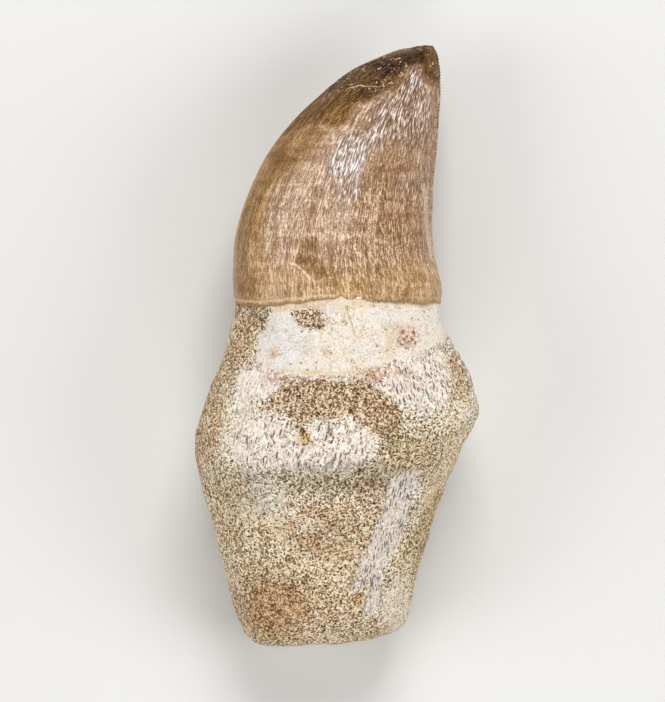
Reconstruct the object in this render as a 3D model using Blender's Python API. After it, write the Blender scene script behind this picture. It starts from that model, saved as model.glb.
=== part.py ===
"""Fossil mosasaur tooth: the enamelled crown and the bony root grew as one piece, so it is one solid.

It lies on its side. +X runs to the hind cutting edge, +Y to the tip and +Z away from what it rests on.
The origin is the middle of its outline, on the surface that it rests on.
"""

import math

import bmesh
import bpy
import numpy as np
from mathutils import Vector, noise

MM = 0.001

# Driving dimensions
TOOTH_LENGTH = 96.7 * MM
SIDES = 72
CROWN_RINGS = 31
ROOT_RINGS = 35

# Cross-sections in millimetres on a tooth 96.7 mm long. Each stands on a chord from the convex front
# edge to the hind edge: front x and y, hind x and y, height of the edges, rise above them, depth below.
DRAWN_LENGTH = 96.7 * MM
CROWN_SECTIONS = [
    (13.3, 48.5, 16.0, 47.1, 11.3, 1.5, 1.5),
    (11.8, 48.1, 16.3, 45.8, 11.4, 2.4, 2.3),
    (9.9, 47.6, 16.5, 44.4, 11.6, 3.3, 3.2),
    (7.4, 46.6, 16.5, 42.5, 11.8, 4.3, 4.1),
    (4.2, 45.2, 16.5, 40.1, 12.2, 5.4, 5.0),
    (0.4, 43.1, 16.3, 37.4, 12.7, 6.6, 6.0),
    (-3.5, 39.9, 16.1, 34.2, 13.4, 7.9, 7.1),
    (-7.4, 36.1, 15.8, 30.5, 14.1, 9.2, 8.2),
    (-11.0, 31.5, 15.4, 26.8, 14.8, 10.4, 9.2),
    (-13.6, 26.5, 15.2, 22.8, 15.4, 11.3, 10.1),
    (-15.5, 21.7, 15.1, 19.0, 15.9, 12.0, 10.9),
    (-16.7, 16.9, 15.4, 15.0, 16.3, 12.6, 11.6),
    (-16.9, 12.4, 16.2, 11.1, 16.5, 13.1, 12.2),
    (-16.8, 8.9, 16.6, 8.6, 16.6, 13.4, 12.6),
    (-16.5, 7.1, 16.4, 7.1, 16.6, 13.4, 12.7),
]
ROOT_SECTIONS = [
    (-16.2, 6.5, 16.1, 6.5, 16.6, 13.0, 12.4),
    (-16.6, 4.4, 16.3, 4.4, 16.6, 13.0, 13.2),
    (-17.2, 2.5, 17.0, 2.5, 16.6, 13.3, 14.4),
    (-17.7, 0.6, 18.1, 0.6, 16.5, 13.8, 15.6),
    (-18.8, -3.3, 20.5, -3.3, 16.4, 15.1, 16.9),
    (-20.7, -7.1, 21.7, -7.1, 16.3, 16.2, 17.1),
    (-21.5, -10.0, 22.5, -10.5, 16.2, 16.8, 17.0),
    (-22.2, -12.6, 21.7, -12.8, 16.1, 17.1, 16.9),
    (-22.7, -15.8, 20.3, -15.8, 15.9, 17.1, 16.6),
    (-22.6, -18.2, 19.2, -18.2, 15.6, 16.7, 16.3),
    (-21.9, -21.5, 17.9, -21.5, 15.1, 15.6, 15.8),
    (-21.5, -23.6, 17.0, -23.6, 14.7, 15.2, 15.3),
    (-20.0, -27.6, 15.4, -28.0, 13.8, 14.6, 14.4),
    (-19.6, -30.4, 14.8, -30.6, 13.3, 14.2, 13.9),
    (-18.7, -34.0, 13.7, -34.0, 12.7, 13.6, 13.3),
    (-17.3, -39.8, 12.2, -39.8, 11.6, 12.3, 12.1),
    (-16.4, -42.8, 11.5, -42.4, 11.0, 11.5, 11.4),
    (-15.6, -44.9, 10.9, -44.3, 10.5, 10.7, 10.6),
    (-14.9, -46.5, 9.8, -45.7, 10.1, 9.5, 9.4),
    (-13.2, -47.7, 7.2, -46.8, 9.9, 7.8, 7.6),
    (-9.9, -48.3, 3.0, -47.6, 9.7, 4.8, 4.6),
    (-6.6, -48.1, -0.2, -47.7, 9.6, 2.4, 2.3),
]
TIP = (15.2, 48.4, 11.2)
ROOT_END = (-3.4, -47.9, 9.6)

# The broken end is dished around the filled pulp cavity.
DISH_DEPTH = 1.1 * MM
DISH_RADIUS = 8 * MM

# The two cutting edges stand out of the crown as low keels and fade at its base.
KEEL_HEIGHT = 0.7 * MM
KEEL_SPREAD = 0.13
KEEL_FADES_OVER = 9 * MM

# The enamel ends in an uneven line: a rise on the hind half of the upper side, a dip on the front half.
LINE_RISE = 0.5 * MM
LINE_WAVE = 0.45 * MM
LINE_REACH = 5 * MM

# The root is a little squarer than an ellipse, and lumpy.
ROOT_SQUARENESS = 2.25
CROWN_SQUARENESS = 2.0
LUMPS = [(0.55 * MM, 13 * MM), (0.22 * MM, 4.5 * MM)]
LUMPS_FADE_OVER = 7 * MM

ENAMEL_COLOUR = (0.40, 0.25, 0.13)
BONE_COLOUR = (0.58, 0.46, 0.32)


def clear_scene():
    for obj in list(bpy.data.objects):
        bpy.data.objects.remove(obj)


def material(name, colour, roughness):
    made = bpy.data.materials.new(name)
    made.use_nodes = True
    shader = made.node_tree.nodes["Principled BSDF"]
    shader.inputs["Base Color"].default_value = (*colour, 1)
    shader.inputs["Roughness"].default_value = roughness
    shader.inputs["Metallic"].default_value = 0
    return made


def smooth_rows(rows, count):
    """count rows along a smooth curve through the given ones, in metres, closer where the size changes fast."""
    rows = np.array(rows) * MM * TOOTH_LENGTH / DRAWN_LENGTH
    steps = np.linalg.norm(np.diff(rows, axis=0), axis=1)
    travelled = np.concatenate([[0], np.cumsum(steps)])
    slopes = np.gradient(rows, travelled, axis=0)
    made = []
    for distance in np.linspace(0, travelled[-1], count):
        k = min(np.searchsorted(travelled, distance, side="right") - 1, len(rows) - 2)
        span = travelled[k + 1] - travelled[k]
        t = (distance - travelled[k]) / span
        made.append(
            (2 * t**3 - 3 * t**2 + 1) * rows[k]
            + (t**3 - 2 * t**2 + t) * span * slopes[k]
            + (3 * t**2 - 2 * t**3) * rows[k + 1]
            + (t**3 - t**2) * span * slopes[k + 1]
        )
    return made


def fade(value, start, end):
    """1 at start, 0 at end and past it, and smooth between."""
    t = min(max((value - start) / (end - start), 0), 1)
    return 1 - t * t * (3 - 2 * t)


def ring_point(row, angle, squareness, keel):
    """A point of a cross-section. Angle 0 is the hind edge, and a quarter turn is the upper side."""
    front, hind = Vector((row[0], row[1])), Vector((row[2], row[3]))
    middle = (front + hind) / 2
    along = (hind - front).normalized()
    half_width = (hind - front).length / 2
    keel = min(keel, half_width / 4)
    across = math.copysign(abs(math.cos(angle)) ** (2 / squareness), math.cos(angle))
    up = math.copysign(abs(math.sin(angle)) ** (2 / squareness), math.sin(angle))
    edge = keel * math.exp(-((math.sin(angle) / KEEL_SPREAD) ** 2))
    reach = across * (half_width - keel) + math.copysign(edge, across)
    place = middle + along * reach
    height = row[4] + up * (row[5] if up > 0 else row[6])
    return Vector((place.x, place.y, height))


def enamel_line(angle):
    """How far the enamel's lower edge lies above its mean level at this angle."""
    hindward, upward = math.cos(angle), math.sin(angle)
    return LINE_RISE * hindward * upward - LINE_WAVE * math.sin(3 * angle) * upward


def crown_point(row, angle, base_level):
    """A point of the crown. The base follows the uneven end of the enamel."""
    above_base = (row[1] + row[3]) / 2 - base_level
    keel = KEEL_HEIGHT * (1 - fade(above_base, 0, KEEL_FADES_OVER))
    point = ring_point(row, angle, CROWN_SQUARENESS, keel)
    point.y += enamel_line(angle) * fade(above_base, 0, LINE_REACH)
    return point


def root_point(row, angle, neck_level):
    """A point of the root, lumpy away from the neck, and flat where it would sink below the surface."""
    below_neck = neck_level - (row[1] + row[3]) / 2
    squareness = CROWN_SQUARENESS + (ROOT_SQUARENESS - CROWN_SQUARENESS) * (
        1 - fade(below_neck, 0, LUMPS_FADE_OVER)
    )
    point = ring_point(row, angle, squareness, 0)
    point.y += enamel_line(angle) * fade(below_neck, 0, LINE_REACH)
    outward = Vector((math.cos(angle), 0, math.sin(angle)))
    lump = sum(
        height * noise.noise(point / size, noise_basis="PERLIN_ORIGINAL")
        for height, size in LUMPS
    )
    # The outline seen from above is measured, so the lumps mostly raise the upper and lower sides.
    lump *= (0.35 + 0.65 * math.sin(angle) ** 2) * (1 - fade(below_neck, 0, LUMPS_FADE_OVER))
    point += outward * lump
    point.z = max(point.z, 0)
    return dished(point)


def dished(point):
    """The point, moved in where it lies on the root's broken end."""
    end = Vector(ROOT_END) * MM * TOOTH_LENGTH / DRAWN_LENGTH
    from_middle = math.hypot(point.x - end.x, point.z - end.z)
    on_end = fade(point.y, end.y, end.y + DISH_DEPTH)
    return point + Vector((0, DISH_DEPTH * fade(from_middle, 0, DISH_RADIUS) * on_end, 0))


def tooth_mesh():
    """A sphere whose rings become the tooth's cross-sections, from the tip to the root's end."""
    crown_rows = smooth_rows(CROWN_SECTIONS, CROWN_RINGS)
    root_rows = smooth_rows(ROOT_SECTIONS, ROOT_RINGS)
    base_level = (crown_rows[-1][1] + crown_rows[-1][3]) / 2
    neck_level = (root_rows[0][1] + root_rows[0][3]) / 2
    rings = CROWN_RINGS + ROOT_RINGS
    scale = MM * TOOTH_LENGTH / DRAWN_LENGTH
    shape = bmesh.new()
    bmesh.ops.create_uvsphere(shape, u_segments=SIDES, v_segments=rings + 1, radius=1)
    for vertex in shape.verts:
        place = vertex.co
        ring = round(math.acos(max(-1, min(1, place.z))) / math.pi * (rings + 1)) - 1
        angle = -math.atan2(place.y, place.x)
        if ring < 0:
            vertex.co = Vector(TIP) * scale
        elif ring == rings:
            vertex.co = dished(Vector(ROOT_END) * scale)
        elif ring < CROWN_RINGS:
            vertex.co = crown_point(crown_rows[ring], angle, base_level)
        else:
            vertex.co = root_point(root_rows[ring - CROWN_RINGS], angle, neck_level)
    shape.normal_update()
    bmesh.ops.recalc_face_normals(shape, faces=shape.faces)
    for face in shape.faces:
        face.smooth = True
        face.material_index = 0 if face.calc_center_median().y > neck_level else 1
    low = [min(v.co[k] for v in shape.verts) for k in range(3)]
    high = [max(v.co[k] for v in shape.verts) for k in range(3)]
    to_origin = Vector((-(low[0] + high[0]) / 2, -(low[1] + high[1]) / 2, -low[2]))
    bmesh.ops.translate(shape, verts=shape.verts, vec=to_origin)
    mesh = bpy.data.meshes.new("tooth")
    shape.to_mesh(mesh)
    shape.free()
    return mesh


def main():
    clear_scene()
    mesh = tooth_mesh()
    mesh.materials.append(material("enamel", ENAMEL_COLOUR, 0.35))
    mesh.materials.append(material("bone", BONE_COLOUR, 0.85))
    tooth = bpy.data.objects.new("tooth", mesh)
    collection = bpy.data.collections.new("mosasaur_tooth")
    bpy.context.scene.collection.children.link(collection)
    collection.objects.link(tooth)


main()
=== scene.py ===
# %% [markdown]
# # A fossil mosasaur tooth
#
# The tooth lies on its side and is seen from above: a curved, glossy brown crown on a swollen root
# of porous bone, crusted with sand. It grew as one piece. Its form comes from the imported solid, and
# this script gives it what a solid with few faces can't hold: the end of the enamel, the fine
# ridges, the saw edge, the crust, the pores and every stain.

import math

import bpy
import numpy as np
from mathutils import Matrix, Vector, noise


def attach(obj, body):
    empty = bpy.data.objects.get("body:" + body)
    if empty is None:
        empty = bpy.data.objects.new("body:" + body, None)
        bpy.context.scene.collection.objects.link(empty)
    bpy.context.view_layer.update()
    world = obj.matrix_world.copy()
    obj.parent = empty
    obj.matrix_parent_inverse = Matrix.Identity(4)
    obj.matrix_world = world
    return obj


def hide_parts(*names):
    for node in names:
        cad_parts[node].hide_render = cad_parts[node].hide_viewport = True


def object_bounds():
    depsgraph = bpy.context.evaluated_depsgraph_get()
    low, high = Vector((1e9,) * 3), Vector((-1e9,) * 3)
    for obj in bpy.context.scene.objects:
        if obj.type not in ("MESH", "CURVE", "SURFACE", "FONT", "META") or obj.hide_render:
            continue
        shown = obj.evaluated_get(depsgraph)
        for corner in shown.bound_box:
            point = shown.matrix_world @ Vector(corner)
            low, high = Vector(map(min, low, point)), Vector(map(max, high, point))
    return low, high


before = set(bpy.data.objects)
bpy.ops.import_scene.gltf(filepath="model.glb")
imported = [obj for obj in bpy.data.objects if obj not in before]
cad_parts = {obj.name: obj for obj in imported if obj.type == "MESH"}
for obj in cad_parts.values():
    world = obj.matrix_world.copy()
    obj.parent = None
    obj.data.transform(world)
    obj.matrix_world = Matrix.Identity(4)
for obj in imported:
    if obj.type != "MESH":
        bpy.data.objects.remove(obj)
solid_low, solid_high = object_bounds()
MM = 0.001
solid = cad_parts["tooth"]
print("solid:", [round(side / MM, 1) for side in solid_high - solid_low], "mm")

# %% [markdown]
# ## Working on a mesh
#
# Operators act on whatever is selected, so one helper selects a single piece and another opens it
# with chosen faces selected. Places are easier to think about in millimetres, so points are read
# and written in them.


# %% Helpers for selecting and for points
def only(piece):
    """Selects this piece and nothing else, in object mode."""
    if bpy.context.mode != "OBJECT":
        bpy.ops.object.mode_set(mode="OBJECT")
    bpy.ops.object.select_all(action="DESELECT")
    piece.select_set(True)
    bpy.context.view_layer.objects.active = piece


def pick_faces(piece, wanted):
    """Opens the piece in edit mode with the faces selected whose centres, in mm, pass the test."""
    only(piece)
    bpy.ops.object.mode_set(mode="EDIT")
    bpy.ops.mesh.select_mode(type="FACE")
    bpy.ops.mesh.select_all(action="DESELECT")
    bpy.ops.object.mode_set(mode="OBJECT")
    centres = np.empty(len(piece.data.polygons) * 3)
    piece.data.polygons.foreach_get("center", centres)
    chosen = wanted(centres.reshape(-1, 3) / MM)
    piece.data.polygons.foreach_set("select", chosen)
    bpy.ops.object.mode_set(mode="EDIT")
    return int(chosen.sum())


def points_of(piece):
    """The piece's vertices in millimetres, one row each."""
    flat = np.empty(len(piece.data.vertices) * 3)
    piece.data.vertices.foreach_get("co", flat)
    return flat.reshape(-1, 3) / MM


def normals_of(piece):
    flat = np.empty(len(piece.data.vertices) * 3)
    piece.data.vertices.foreach_get("normal", flat)
    return flat.reshape(-1, 3)


def move_points(piece, points):
    piece.data.vertices.foreach_set("co", (points * MM).ravel())
    piece.data.update()


def apply_modifier(piece, kind, **settings):
    """Adds a modifier with these settings and applies it."""
    only(piece)
    modifier = piece.modifiers.new(kind.lower(), kind)
    for name, value in settings.items():
        setattr(modifier, name, value)
    bpy.ops.object.modifier_apply(modifier=modifier.name)


# %% [markdown]
# ## Crown and root
#
# On the real tooth the enamel is a thin coat of its own on the crown, and it ends in an uneven
# line with a small step down to the root. One mesh with two finishes could show that, but the two
# halves need different fine detail. So the solid's mesh is copied twice, and each copy keeps the
# faces on its side of the line. The line's formula is the one that the solid was made with.

# %% Where the enamel ends
NECK_X, NECK_Z = 0.0, 16.6
NECK_HALF_WIDTH, NECK_HALF_HEIGHT = 16.3, 13.0
ENAMEL_LEVEL = 6.8
LINE_RISE, LINE_WAVE = 0.5, 0.45


def enamel_end(points):
    """The level, along Y, at which the enamel ends on this side of the neck."""
    hindward = (points[:, 0] - NECK_X) / NECK_HALF_WIDTH
    upward = (points[:, 2] - NECK_Z) / NECK_HALF_HEIGHT
    turn = np.arctan2(upward, hindward)
    wave = LINE_RISE * np.cos(turn) - LINE_WAVE * np.sin(3 * turn)
    return ENAMEL_LEVEL + wave * np.sin(turn)


# %% Copy the solid twice and keep one side of each
def copy_of_solid(name):
    """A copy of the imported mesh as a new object, its loose triangles merged and paired into quads."""
    copy = bpy.data.objects.new(name, solid.data.copy())
    bpy.context.scene.collection.objects.link(copy)
    only(copy)
    bpy.ops.mesh.customdata_custom_splitnormals_clear()
    bpy.ops.object.mode_set(mode="EDIT")
    bpy.ops.mesh.select_all(action="SELECT")
    bpy.ops.mesh.remove_doubles(threshold=0.001 * MM)
    bpy.ops.mesh.tris_convert_to_quads(face_threshold=math.radians(40), shape_threshold=math.radians(60))
    bpy.ops.mesh.mark_sharp(clear=True)
    bpy.ops.object.mode_set(mode="OBJECT")
    return copy


HALF_STEP = 0.15

crown = copy_of_solid("crown")
pick_faces(crown, lambda centres: centres[:, 1] < enamel_end(centres) + HALF_STEP)
bpy.ops.mesh.delete(type="FACE")

root = copy_of_solid("root")
pick_faces(root, lambda centres: centres[:, 1] > enamel_end(centres) - HALF_STEP)
bpy.ops.mesh.delete(type="FACE")
only(root)
print("crown:", len(crown.data.polygons), "faces, root:", len(root.data.polygons), "faces")

# %% [markdown]
# ## The enamel's edge
#
# The open rim of the crown is extruded down for the thickness of the enamel, in under it, and up
# inside, where nobody sees it, and then closed. The root's rim is extruded up under the crown, so
# that bone shows wherever the enamel's edge is broken.


# %% Turn both rims in and close them
def turn_rim_in(piece, steps):
    """Extrudes the open rim by each step, a move along Y and a scale across, and closes it."""
    only(piece)
    bpy.ops.object.mode_set(mode="EDIT")
    bpy.ops.mesh.select_mode(type="EDGE")
    bpy.ops.mesh.select_all(action="DESELECT")
    bpy.ops.mesh.select_non_manifold(use_wire=False, use_multi_face=False, use_non_contiguous=False)
    middle = (NECK_X * MM, ENAMEL_LEVEL * MM, NECK_Z * MM)
    for forward, shrink in steps:
        bpy.ops.mesh.extrude_edges_move(TRANSFORM_OT_translate={"value": (0, forward * MM, 0)})
        bpy.ops.transform.resize(value=(shrink, 1, shrink), center_override=middle)
    bpy.ops.mesh.edge_face_add()
    bpy.ops.mesh.select_all(action="SELECT")
    bpy.ops.mesh.normals_make_consistent(inside=False)
    bpy.ops.object.mode_set(mode="OBJECT")


turn_rim_in(crown, [(-0.3, 0.997), (-0.08, 0.97), (1.5, 0.96)])
turn_rim_in(root, [(0.4, 0.985), (1.8, 0.965)])

# %% [markdown]
# ## Fine meshes
#
# Two levels of subdivision surface round the facets off. Poking then splits each quad into four
# triangles, which sets the points a quarter of a millimetre apart: close enough for sand grains of
# half a millimetre. The saw edge on the hind keel is finer still, so the faces along it are cut in
# three each way instead.

# %% Subdivide
HIND_KEEL_REACH = 0.7
KEEL_LEVELS = (9, 47.3)


def hind_edge_at(levels, points):
    """The x of the hindmost point at each level."""
    return np.array([points[np.abs(points[:, 1] - level) < 0.6, 0].max() for level in levels])


for piece in (crown, root):
    apply_modifier(piece, "SUBSURF", levels=2, render_levels=2)

keel_levels = np.arange(7.5, 48, 0.5)
keel_x = hind_edge_at(keel_levels, points_of(crown))


def on_hind_keel(centres):
    near = centres[:, 0] > np.interp(centres[:, 1], keel_levels, keel_x) - HIND_KEEL_REACH
    return near & (centres[:, 1] > KEEL_LEVELS[0]) & (centres[:, 1] < KEEL_LEVELS[1])


keel_faces = pick_faces(crown, on_hind_keel)
bpy.ops.mesh.subdivide(number_cuts=2)
pick_faces(crown, lambda centres: ~on_hind_keel(centres) & (centres[:, 1] > ENAMEL_LEVEL - 1))
bpy.ops.mesh.poke()
pick_faces(root, lambda centres: centres[:, 1] < ENAMEL_LEVEL + 1)
bpy.ops.mesh.poke()
for piece in (crown, root):
    only(piece)
    piece.data.calc_loop_triangles()
    print(piece.name, len(piece.data.loop_triangles), "triangles; keel faces:", keel_faces)

# %% [markdown]
# ## Places on the tooth
#
# Ridges and pores run along the tooth and fan out with it, so each point also gets its place in
# the cross-section: across, from -1 at the front edge to 1 at the hind edge, and up, from -1 to 1.
# Lines of equal across and up follow the tooth's curve and meet at the tip. Past the last level
# the scale stays, so the pattern isn't squeezed on the broken end.

# %% Cross-sections and fields
all_points = np.vstack([points_of(crown), points_of(root)])
LEVELS = np.arange(-45, 47.6, 0.5)
near_level = [all_points[np.abs(all_points[:, 1] - level) < 0.5] for level in LEVELS]
LOW_SIDE = np.array([near.min(axis=0) for near in near_level])
HIGH_SIDE = np.array([near.max(axis=0) for near in near_level])


def cross_place(points, axis):
    """Where a point lies between the two sides of its cross-section, from -1 to 1."""
    low = np.interp(points[:, 1], LEVELS, LOW_SIDE[:, axis])
    high = np.interp(points[:, 1], LEVELS, HIGH_SIDE[:, axis])
    return (2 * points[:, axis] - low - high) / (high - low)


def rise(values, low, high):
    """0 at low and below, 1 at high and above, and smooth between."""
    t = np.clip((values - low) / (high - low), 0, 1)
    return t * t * (3 - 2 * t)


def distance_to(points, path):
    """Distance in mm to a path of straight steps, seen from above."""
    place = points[:, :2]
    nearest = np.full(len(points), np.inf)
    for start, end in zip(path, path[1:]):
        side = np.subtract(end, start)
        along = np.clip((place - start) @ side / (side @ side), 0, 1)
        nearest = np.minimum(nearest, np.linalg.norm(place - start - along[:, None] * side, axis=1))
    return nearest


def inside(points, outline):
    """True for points inside a closed outline, seen from above."""
    crossed = np.zeros(len(points), bool)
    for start, end in zip(outline, outline[1:] + outline[:1]):
        side = np.subtract(end, start)
        level_share = (points[:, 1] - start[1]) / (side[1] if side[1] else 1)
        spans = (start[1] > points[:, 1]) != (end[1] > points[:, 1])
        crossed ^= spans & (points[:, 0] < start[0] + level_share * side[0])
    return crossed


def within(points, outline, soft):
    """1 inside the outline, 0 outside, over an edge this soft, and on the upper side only."""
    away = distance_to(points, outline + outline[:1]) * np.where(inside(points, outline), 1, -1)
    return rise(away, -soft / 2, soft / 2) * upper(points)


def along_path(points, path, wide):
    """1 on the path, fading to 0 this far from it, on the upper side only."""
    return rise(distance_to(points, path), wide, wide / 3) * upper(points)


def spot(points, x, y, long, wide, turn=0, soft=0.5):
    """1 in an ellipse with these half lengths, turned from +X by degrees, and on the upper side only."""
    angle = math.radians(turn)
    along = (points[:, 0] - x) * math.cos(angle) + (points[:, 1] - y) * math.sin(angle)
    across = (points[:, 1] - y) * math.cos(angle) - (points[:, 0] - x) * math.sin(angle)
    reach = np.hypot(along / long, across / wide)
    return (1 - rise(reach, 1 - soft, 1 + soft)) * upper(points)


def upper(points):
    return rise(points[:, 2], 9, 15)


def rough(points, size, seed=0):
    """Smooth noise from about -1 to 1 with features of this size in mm."""
    shift = Vector((seed * 17.3, seed * 5.1, seed * 9.7))
    return np.array([noise.noise(Vector(point) / size + shift) for point in points])


def store(piece, name, values):
    """Keeps a number or a vector for each point of the piece, for the finish to read."""
    vector = values.ndim == 2
    kept = piece.data.attributes.new(name, "FLOAT_VECTOR" if vector else "FLOAT", "POINT")
    kept.data.foreach_set("vector" if vector else "value", values.astype(np.float32).ravel())


print("levels:", len(LEVELS), "points:", len(all_points))

# %% [markdown]
# ## What lies where on the root
#
# Bare bone shows in some places, a polished band runs under the enamel, and sand covers the rest.
# Each region is an outline or an oval in millimetres. They only say how much of something there
# is, from 0 to 1. The finish turns that into single grains and ragged edges.

# %% Regions of the root
NECK_BAND = [
    (-10.6, 8), (-10.4, 5.2), (-12.6, 2.5), (-12.8, 0.1), (-13.0, -3.1), (-10.0, -4.0), (-8.0, -4.8),
    (-4.0, -4.9), (1.0, -4.8), (5.6, -3.8), (8.6, -2.6), (12.6, -1.5), (17.4, 0.6), (17.6, 4.3), (17.0, 8),
]  # fmt: skip
NECK_SAND = [
    (-7.2, 5.2), (-6.9, 4.4), (-5.9, 3.2), (-4.0, 2.6), (-2.2, 2.3), (-2.0, 4.2), (-2.6, 5.7), (-5.0, 5.6),
]  # fmt: skip
MOTTLED_BAND = [
    (-1.6, 5.4), (2.0, 5.6), (5.6, 3.8), (9.3, 3.3), (14.0, 4.2), (14.0, -0.6), (9.3, -1.0), (5.6, -3.0),
    (-1.0, -3.0), (-3.0, 0.0),
]  # fmt: skip
FRONT_CRUST = [
    (-19, 8), (-10.6, 7.5), (-10.6, 5.5), (-11.0, 3.3), (-12.8, 1.5), (-14.4, -1.0), (-15.5, -3.3),
    (-16.2, -6.5), (-16.8, -7.9), (-17.8, -10.3), (-18.4, -15.1), (-25, -16), (-25, -8),
]  # fmt: skip
COARSE_SAND = [
    (-8.3, -6.4), (-5.9, -5.7), (-2.7, -5.6), (-0.3, -5.8), (2.1, -5.8), (4.0, -6.0), (6.1, -6.7),
    (7.7, -7.9), (9.8, -9.5), (10.1, -11.0), (9.4, -12.6), (8.5, -13.8), (6.1, -13.5), (4.0, -11.9),
    (2.1, -11.0), (-1.1, -11.3), (-4.0, -11.6), (-5.9, -12.6), (-7.5, -11.1), (-9.9, -10.0),
    (-12.3, -10.6), (-12.6, -9.4), (-10.7, -9.0), (-9.9, -7.4),
]  # fmt: skip
FRONT_BONE = [(-16.0, -3.4), (-9.4, -3.4), (-8.6, -5.6), (-10.4, -8.0), (-13.4, -8.6), (-15.6, -10.6)]
HIND_BONE = [
    (3.4, -5.0), (8.6, -2.8), (12.6, -1.8), (16.8, -0.6), (18.4, -4.7), (17.8, -8.7), (15.4, -11.6),
    (10.9, -11.0), (9.0, -9.2), (5.6, -6.6),
]  # fmt: skip
MIDDLE_BONE = [
    (-13, -11.0), (-8.3, -10.6), (-4.3, -12.7), (1.3, -11.1), (4.0, -12.7), (6.6, -15.1),
    (5.6, -18.3), (2.1, -20.0), (-5.9, -20.8), (-12, -19.5), (-15.5, -17.5), (-16.3, -13.5),
]  # fmt: skip
BARE_STRIP = [
    (8.6, -21.3), (10.2, -20.0), (13.7, -19.5), (13.1, -22.4), (12.2, -25.0), (11.6, -27.4),
    (10.8, -30.5), (9.8, -32.2), (8.0, -34.4), (7.6, -37.0), (7.5, -40.2), (6.6, -42.4), (4.6, -43.0),
    (4.1, -41.6), (5.5, -38.4), (5.0, -37.6), (4.4, -38.6), (2.3, -39.2), (1.9, -38.2), (3.0, -36.8),
    (3.7, -34.7), (4.4, -32.4), (5.6, -30.4), (6.4, -27.6), (7.6, -24.8),
]  # fmt: skip
HIND_PIT = (11.0, 1.2)

# Each oval has a place, two half lengths, a turn in degrees and a strength.
CREAM_SAND = [
    (9.8, -41.6, 5.0, 2.4, 85, 1.0),
    (-9.0, -27.0, 5.0, 2.2, 95, 0.9),
    (-9.6, -36.2, 1.3, 1.0, 0, 0.8),
    (-12.0, -24.6, 4.0, 3.2, 0, 0.5),
    (-15.0, -13.0, 7.0, 3.4, 85, 0.9),
    (19.6, -10.5, 3.2, 1.6, 60, 0.8),
    (17.0, -20.0, 8.0, 0.9, 62, 0.7),
    (1.0, -35.0, 6.0, 3.0, 0, 0.35),
    (14.0, -6.0, 3.0, 5.0, 0, 0.5),
]
RUST_STAINS = [
    (-20.6, -14.5, 7.5, 2.2, 80, 0.6),
    (-15.6, 6.0, 1.3, 1.6, 0, 0.9),
    (-18.0, -5.0, 5.0, 2.0, 70, 0.5),
    (-2.6, -29.0, 7.0, 4.0, -15, 0.7),
    (5.0, -23.6, 3.4, 3.0, 0, 0.8),
    (-7.0, -23.5, 1.2, 1.6, 0, 0.7),
    (-1.0, -40.0, 8.0, 4.0, 0, 0.4),
    (19.4, -4.4, 3.2, 1.0, -65, 0.8),
    (5.6, -4.7, 3.0, 1.2, 20, 1.0),
    (-9.4, -5.0, 2.4, 1.1, -10, 0.9),
    (-2.0, -5.3, 3.6, 0.6, 0, 0.9),
    (10.5, -6.0, 4.0, 2.4, 0, 0.3),
    (11.0, 1.2, 1.9, 1.7, 0, 0.6),
    (-15.4, 1.2, 5.0, 2.0, 75, 0.6),
    (3.2, -40.2, 1.3, 0.9, 60, 0.5),
    (-10.0, -0.9, 0.7, 0.8, 0, 0.7),
    (-1.9, -1.0, 0.7, 0.5, 0, 0.6),
    (-10.8, -42.0, 5.0, 5.0, 20, 0.25),
    (-2.4, 4.6, 1.2, 1.4, 0, 0.7),
]
OLIVE_STAINS = [
    (1.5, -20.8, 12.0, 2.6, 0, 1.0),
    (-13.0, -22.5, 5.0, 3.4, 0, 0.6),
    (13.0, -17.5, 5.0, 4.0, 0, 0.3),
    (8.6, -14.2, 1.6, 2.2, 0, 0.9),
    (-12.2, 4.6, 1.8, 1.6, 0, 0.7),
    (-8.2, -15.0, 0.8, 1.8, 0, 0.5),
    (1.0, -31.0, 9.0, 4.0, 0, 0.25),
    (14.4, -29.5, 2.0, 6.0, -10, 0.5),
]
OCHRE_STAINS = [
    (-10.0, -42.0, 6.0, 6.0, 0, 0.9),
    (-18.5, -6.0, 8.0, 2.0, 65, 0.6),
    (19.0, -6.0, 5.0, 1.4, -65, 0.6),
    (8.5, 6.8, 7.0, 0.9, 0, 0.9),
    (0.8, 6.4, 1.6, 1.6, 0, 0.7),
    (15.0, -27.0, 1.9, 7.0, -12, 0.9),
    (-20.6, -13.0, 2.4, 7.0, 0, 0.6),
    (18.5, -16.0, 2.4, 5.0, -20, 0.6),
    (13.6, -36.0, 1.6, 6.0, -10, 0.8),
    (3.2, -40.4, 2.0, 1.6, 20, 0.9),
    (-5.1, -14.7, 1.0, 1.0, 0, 1.0),
    (-16.0, -28.0, 3.0, 7.0, 5, 0.5),
    (8.8, 0.4, 1.2, 2.6, -20, 0.8),
    (-14.2, 1.4, 6.0, 2.4, 70, 0.6),
    (12.0, -17.5, 6.0, 4.4, 0, 0.7),
    (-18.0, -25.0, 3.0, 6.0, 0, 0.6),
    (-10.0, -0.9, 0.7, 0.9, 0, 0.9),
    (-1.9, -0.9, 0.8, 0.6, 0, 0.7),
    (1.6, -0.9, 1.0, 0.6, 0, 0.6),
    (2.6, 1.0, 0.7, 0.7, 0, 0.5),
    (2.0, -4.2, 9.0, 0.7, 0, 0.6),
]
print("ovals:", sum(map(len, (CREAM_SAND, RUST_STAINS, OLIVE_STAINS, OCHRE_STAINS))))


# %% Sand, polish and stains on the root
def toward(field, mask, value):
    """The field, moved to the value where the mask is 1."""
    return field + (value - field) * mask


def raised(field, points, ovals):
    """The field, raised in each oval to the oval's strength."""
    for x, y, long, wide, turn, strength in ovals:
        field = np.maximum(field, strength * spot(points, x, y, long, wide, turn))
    return field


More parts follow.
